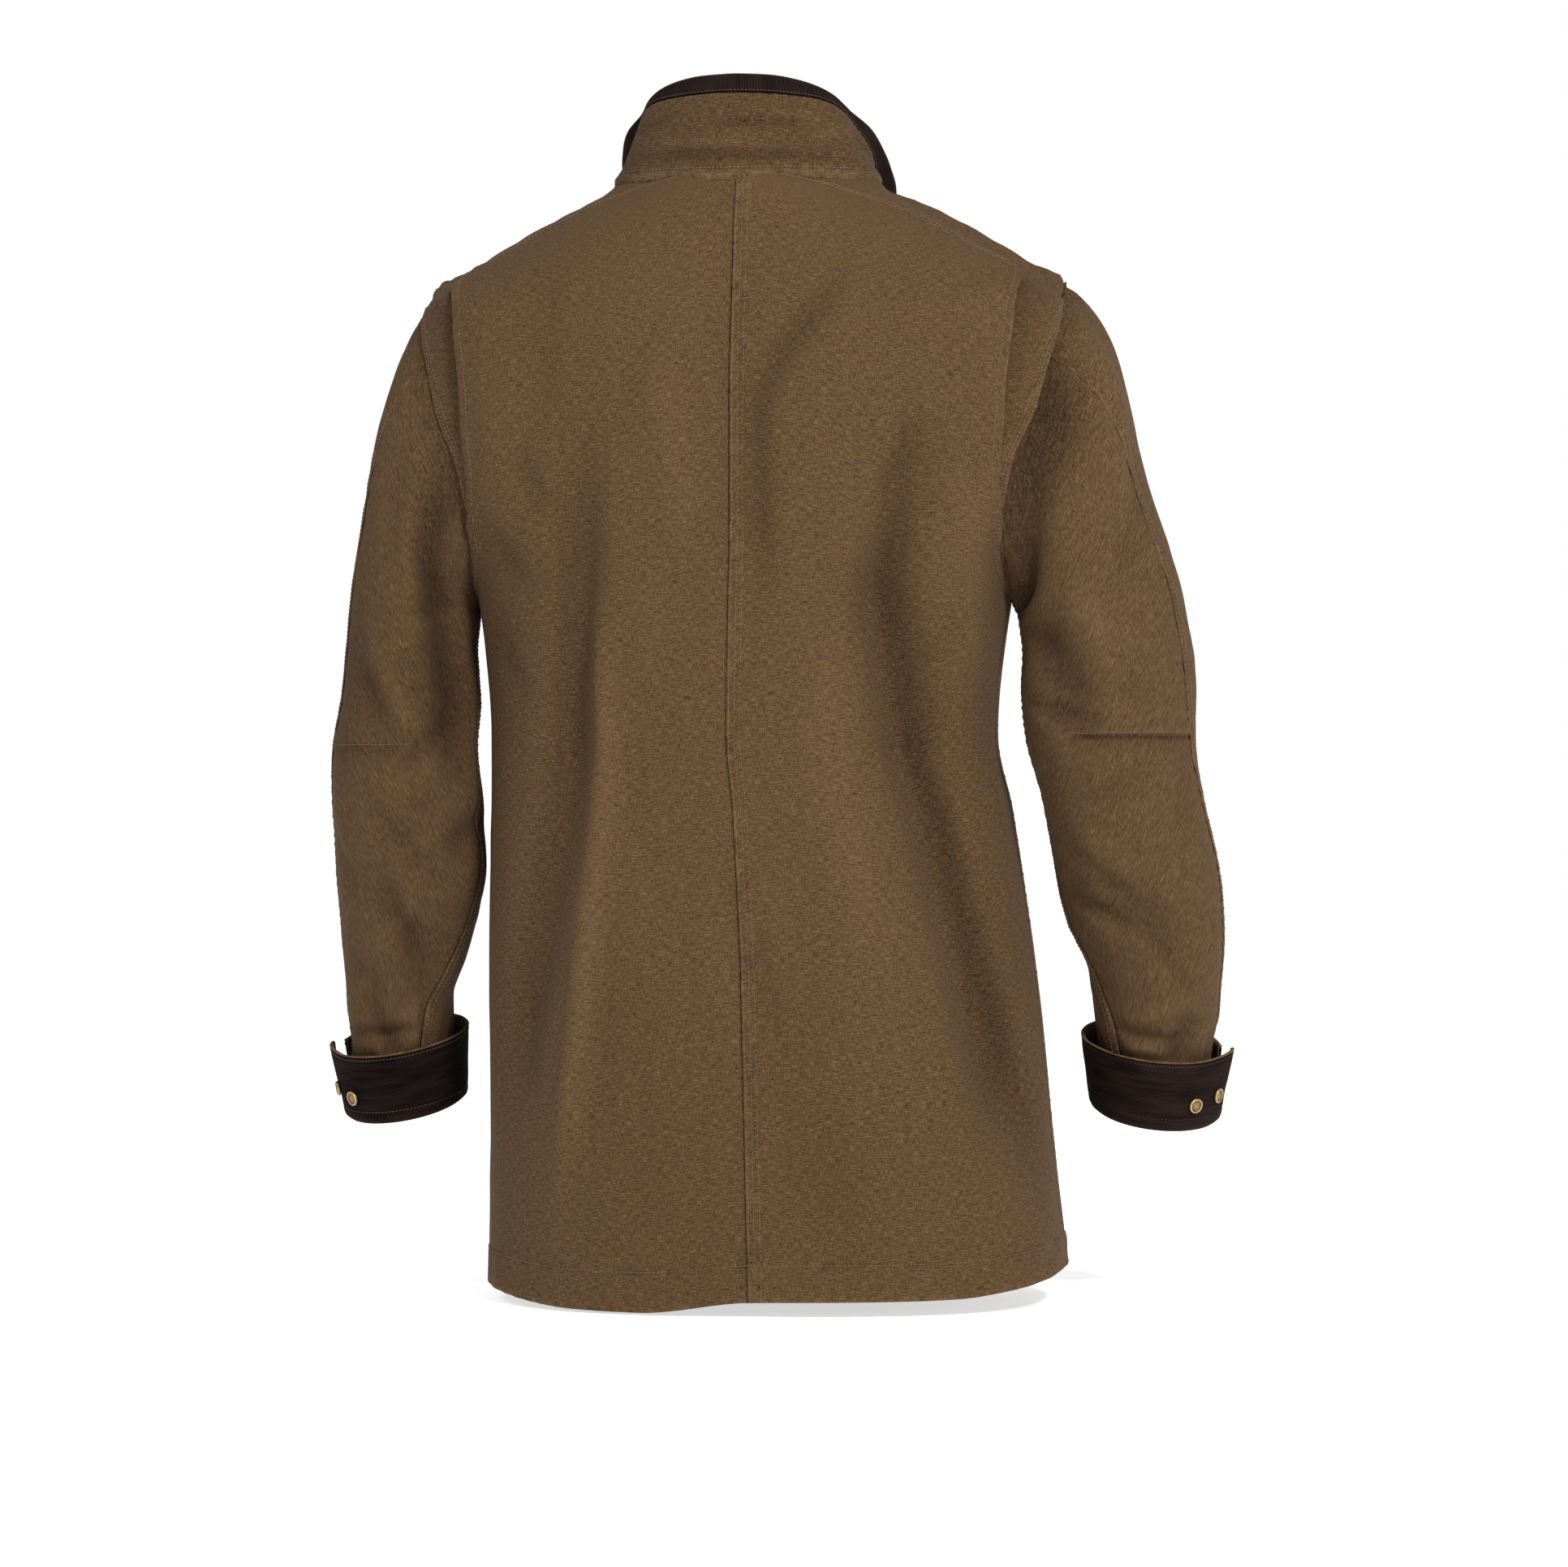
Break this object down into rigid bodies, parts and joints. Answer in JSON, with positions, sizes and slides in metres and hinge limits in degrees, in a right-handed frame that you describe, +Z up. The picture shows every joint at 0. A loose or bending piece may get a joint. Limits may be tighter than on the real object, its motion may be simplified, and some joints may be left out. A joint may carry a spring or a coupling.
{
  "type": "field coat",
  "caption": "Hip-length canvas field coat in its worn shape, hollow, with a turned-up corduroy-faced collar, an action back and turned-back corduroy cuffs with snaps.",
  "frame": {"origin": "the collar seam at the centre of the back, where the wearer's neck and shoulders hold the coat", "axes": "+Z up, -Y the way the coat faces, +X the wearer's left"},
  "size_m": [0.7306, 0.318, 0.9619],
  "materials": {
    "canvas": "matte brushed cotton canvas",
    "corduroy": "fine-wale cotton corduroy",
    "snap_brass": "antique satin"
  },
  "bodies": {
    "root": {"back_left": "canvas", "back_right": "canvas", "back_pleat_left": "canvas", "back_pleat_right": "canvas", "front_left": "canvas", "front_right": "canvas", "sleeve_top_left": "canvas", "sleeve_top_right": "canvas", "sleeve_under_left": "canvas", "sleeve_under_right": "canvas", "cuff_canvas_left": "canvas", "cuff_canvas_right": "canvas", "collar_outer": "canvas", "collar_facing": "corduroy", "cuff_facing_left": "corduroy", "cuff_facing_right": "corduroy", "snap_cuff_left_1": "snap_brass", "snap_cuff_left_2": "snap_brass", "snap_cuff_right_1": "snap_brass", "snap_cuff_right_2": "snap_brass", "snap_front_1": "snap_brass", "snap_front_2": "snap_brass", "snap_front_3": "snap_brass", "snap_front_4": "snap_brass", "snap_front_5": "snap_brass", "snap_front_6": "snap_brass"}
  },
  "joints": []
}
